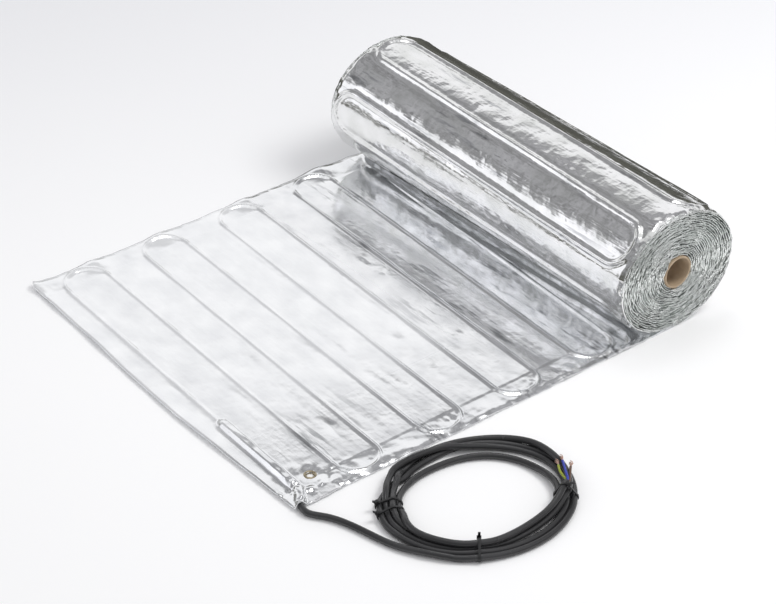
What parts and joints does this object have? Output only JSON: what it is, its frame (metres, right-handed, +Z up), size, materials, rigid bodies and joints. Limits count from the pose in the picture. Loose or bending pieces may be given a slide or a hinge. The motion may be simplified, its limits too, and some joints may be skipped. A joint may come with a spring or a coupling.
{
  "type": "underfloor heating mat",
  "caption": "Foil underfloor heating mat, partly unrolled from its cardboard tube, with cable rows under the foil, a corner eyelet and a coiled cold tail with bare wire ends.",
  "frame": {"origin": "middle of the mat's underside, halfway between the leading edge and the back of the roll, on the floor", "axes": "+X along the mat from its leading edge towards the roll, +Y across the mat along the roll's axis and away from the cold tail, +Z up"},
  "size_m": [0.5962, 0.6975, 0.1433],
  "materials": {
    "foil": "crinkled bright aluminium foil laminate",
    "cardboard": null,
    "heating_cable": "fluoropolymer cable sheath",
    "black_pvc": "matt black PVC cable sheath",
    "nickel_brass": "nickel-plated brass, bright",
    "black_nylon": "black nylon cable tie",
    "brown_insulation": "brown wire insulation",
    "blue_insulation": "blue wire insulation",
    "green_yellow_insulation": "green and yellow wire insulation",
    "copper": null
  },
  "bodies": {
    "root": {"foil_mat": "foil", "cardboard_tube": "cardboard", "heating_cable": "heating_cable", "joint_sleeve": "black_pvc", "eyelet": "nickel_brass", "cold_tail_lead": "black_pvc", "cold_tail_coil": "black_pvc", "cold_tail_end": "black_pvc", "tie_left_upper": "black_nylon", "tie_left_lower": "black_nylon", "tie_front": "black_nylon", "tie_at_wires": "black_nylon", "live_wire": "brown_insulation", "live_strands": "copper", "neutral_wire": "blue_insulation", "neutral_strands": "copper", "earth_wire": "green_yellow_insulation", "earth_strands": "copper"}
  },
  "joints": []
}
